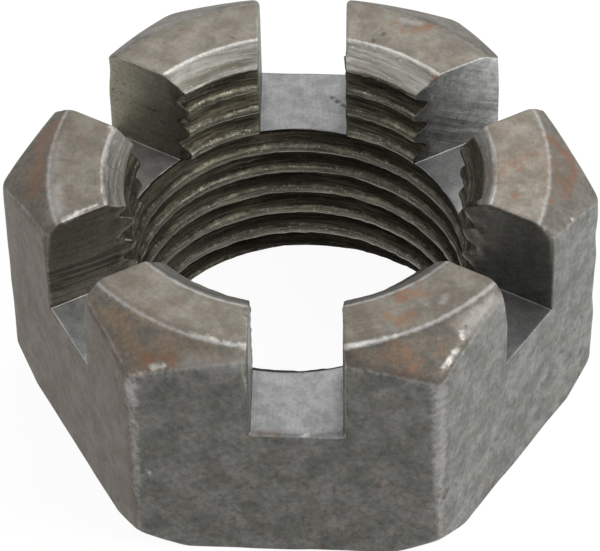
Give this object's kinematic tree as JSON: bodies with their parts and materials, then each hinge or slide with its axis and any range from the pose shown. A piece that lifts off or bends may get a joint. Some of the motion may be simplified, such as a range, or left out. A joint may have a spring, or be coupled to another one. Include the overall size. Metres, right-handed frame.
{
  "type": "castle nut",
  "caption": "Slotted hexagon steel nut with a threaded bore, chamfered ends and slots across its top for a cotter pin.",
  "frame": {"origin": "centre of the bore on the bearing face", "axes": "+Z along the bore towards the slotted end, one flat facing -Y and a corner on +X"},
  "size_m": [0.0366, 0.0318, 0.017],
  "materials": {
    "steel": "forged and turned carbon steel, dull grey with brown oxide, light rust spots and fresh milled slots"
  },
  "bodies": {
    "root": {"castle_nut": "steel"}
  },
  "joints": []
}
